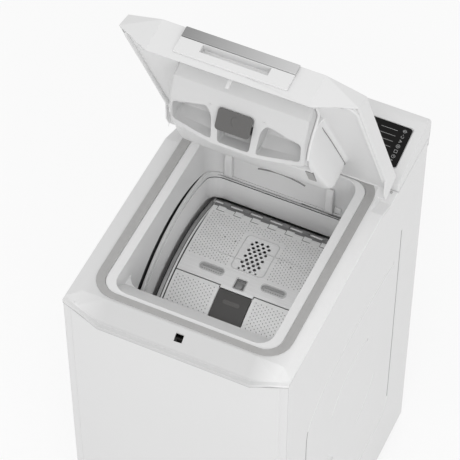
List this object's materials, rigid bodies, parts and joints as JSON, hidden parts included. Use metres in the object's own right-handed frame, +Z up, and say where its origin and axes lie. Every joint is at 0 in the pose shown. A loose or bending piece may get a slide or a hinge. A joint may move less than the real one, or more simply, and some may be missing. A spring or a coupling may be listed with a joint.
{
  "type": "top load washing machine",
  "caption": "Slim upright washing machine with a hinged top lid, a rear control strip, a lid dispenser and a two-flap drum on a level axis.",
  "frame": {"origin": "on the floor under the middle of the cabinet, with the lid open", "axes": "+X to the right seen from the front, +Y towards the back, +Z up"},
  "size_m": [0.4, 0.6, 1.3005],
  "materials": {
    "cabinet_steel": "smooth white powder coat",
    "cover_plastic": "smooth white moulding",
    "liner_plastic": "satin white moulding",
    "seal_rubber": "matte grey",
    "plated_steel": "zinc plated sheet",
    "cast_aluminium": "as cast",
    "drum_steel": "satin stainless sheet",
    "flap_steel": "satin stainless sheet with dimples",
    "spring_steel": "drawn wire and rod",
    "handle_steel": "brushed lengthways",
    "dark_plastic": "fine matte",
    "panel_black": "polished black",
    "tub_plastic": "satin grey moulding",
    "ballast": "rough cast concrete",
    "belt_rubber": "matte black",
    "board": "lacquered board"
  },
  "bodies": {
    "cabinet": {"side_panel_left": "cabinet_steel", "side_panel_right": "cabinet_steel", "front_panel": "cabinet_steel", "rear_panel": "plated_steel", "base_tray": "tub_plastic", "top_deck": "cover_plastic", "lid_seal": "seal_rubber", "loading_throat": "liner_plastic", "mouth_bellows": "seal_rubber", "console_housing": "cover_plastic", "control_glass": "panel_black", "control_board": "board", "lid_lock": "dark_plastic", "hinge_bracket_left": "plated_steel", "hinge_bracket_right": "plated_steel", "damper_body_left": "plated_steel", "damper_body_right": "plated_steel", "spring_front_left": "spring_steel", "spring_front_right": "spring_steel", "spring_rear_left": "spring_steel", "spring_rear_right": "spring_steel", "drain_pump": "tub_plastic", "drain_hose": "seal_rubber", "sump_hose": "belt_rubber", "inlet_valve": "tub_plastic"},
    "tub": {"tub_left": "tub_plastic", "tub_right": "tub_plastic", "bearing_housing_left": "cast_aluminium", "bearing_housing_right": "cast_aluminium", "counterweight_front": "ballast", "counterweight_low": "ballast", "heater": "spring_steel", "motor": "cast_aluminium", "drive_belt": "belt_rubber", "damper_rod_left": "spring_steel", "damper_rod_right": "spring_steel"},
    "drum": {"drum_shell": "drum_steel", "drum_end_left": "drum_steel", "drum_end_right": "drum_steel", "drum_shaft_left": "plated_steel", "drum_shaft_right": "plated_steel", "drum_pulley": "cast_aluminium", "lifter_front": "tub_plastic", "lifter_rear": "tub_plastic", "rear_hinge_rod": "flap_steel", "front_hinge_rod": "flap_steel"},
    "rear_flap": {"rear_flap": "flap_steel"},
    "front_flap": {"front_flap": "flap_steel"},
    "latch_button": {"latch_button": "dark_plastic"},
    "motor_pulley": {"motor_pulley": "plated_steel"},
    "lid": {"lid_outer": "cover_plastic", "lid_liner": "liner_plastic", "handle_plate": "cover_plastic", "handle_bar": "handle_steel"},
    "dispenser": {"dispenser_body": "liner_plastic"},
    "liquid_flap": {"liquid_flap": "dark_plastic"},
    "foot_left": {"foot_left": "dark_plastic"},
    "foot_right": {"foot_right": "dark_plastic"},
    "pump_filter": {"pump_filter": "tub_plastic"},
    "filter_door": {"filter_door": "cover_plastic"}
  },
  "joints": [
    {"name": "lid_hinge", "type": "hinge", "parent": "cabinet", "child": "lid", "pos_m": [0, 0.1524, 0.9048], "axis": [-1, 0, 0], "range_deg": [-65.7, 0]},
    {"name": "tub_suspension", "type": "slide", "parent": "cabinet", "child": "tub", "axis": [0, 0, 1], "range_m": [-0.012, 0.006], "stiffness_N_per_m": 20000, "springref_m": 0.0135, "deforming": ["mouth_bellows", "spring_front_left", "spring_front_right", "spring_rear_left", "spring_rear_right", "sump_hose"]},
    {"name": "drum_spin", "type": "hinge", "parent": "tub", "child": "drum", "pos_m": [0, 0.014, 0.484], "axis": [1, 0, 0], "range_deg": [-180, 360]},
    {"name": "motor_spin", "type": "hinge", "parent": "tub", "child": "motor_pulley", "pos_m": [0, 0.12, 0.14], "axis": [1, 0, 0], "range_deg": [-2340, 4680]},
    {"name": "rear_flap_hinge", "type": "hinge", "parent": "drum", "child": "rear_flap", "pos_m": [0, 0.109, 0.708], "axis": [-1, 0, 0], "range_deg": [0, 90]},
    {"name": "front_flap_hinge", "type": "hinge", "parent": "drum", "child": "front_flap", "pos_m": [0, -0.1473, 0.6605], "axis": [1, 0, 0], "range_deg": [0, 70]},
    {"name": "latch_press", "type": "slide", "parent": "front_flap", "child": "latch_button", "axis": [0, 0, -1], "range_m": [0, 0.004], "stiffness_N_per_m": 400, "springref_m": -0.003},
    {"name": "dispenser_slide", "type": "slide", "parent": "lid", "child": "dispenser", "axis": [0, -0.9114, -0.4115], "range_m": [0, 0.05]},
    {"name": "liquid_flap_hinge", "type": "hinge", "parent": "dispenser", "child": "liquid_flap", "pos_m": [0, -0.0595, 1.1719], "axis": [-1, 0, 0], "range_deg": [0, 50]},
    {"name": "foot_left_screw", "type": "slide", "parent": "cabinet", "child": "foot_left", "axis": [0, 0, -1], "range_m": [0, 0.015]},
    {"name": "foot_right_screw", "type": "slide", "parent": "cabinet", "child": "foot_right", "axis": [0, 0, -1], "range_m": [0, 0.015]},
    {"name": "filter_turn", "type": "hinge", "parent": "cabinet", "child": "pump_filter", "pos_m": [0.07, -0.25, 0.085], "axis": [0, 1, 0], "range_deg": [0, 180]},
    {"name": "filter_door_hinge", "type": "hinge", "parent": "cabinet", "child": "filter_door", "pos_m": [0.07, -0.29925, 0.0465], "axis": [1, 0, 0], "range_deg": [0, 90]}
  ],
  "couplings": [
    {"joint": "motor_spin", "follows": "drum_spin", "ratio": 13}
  ]
}
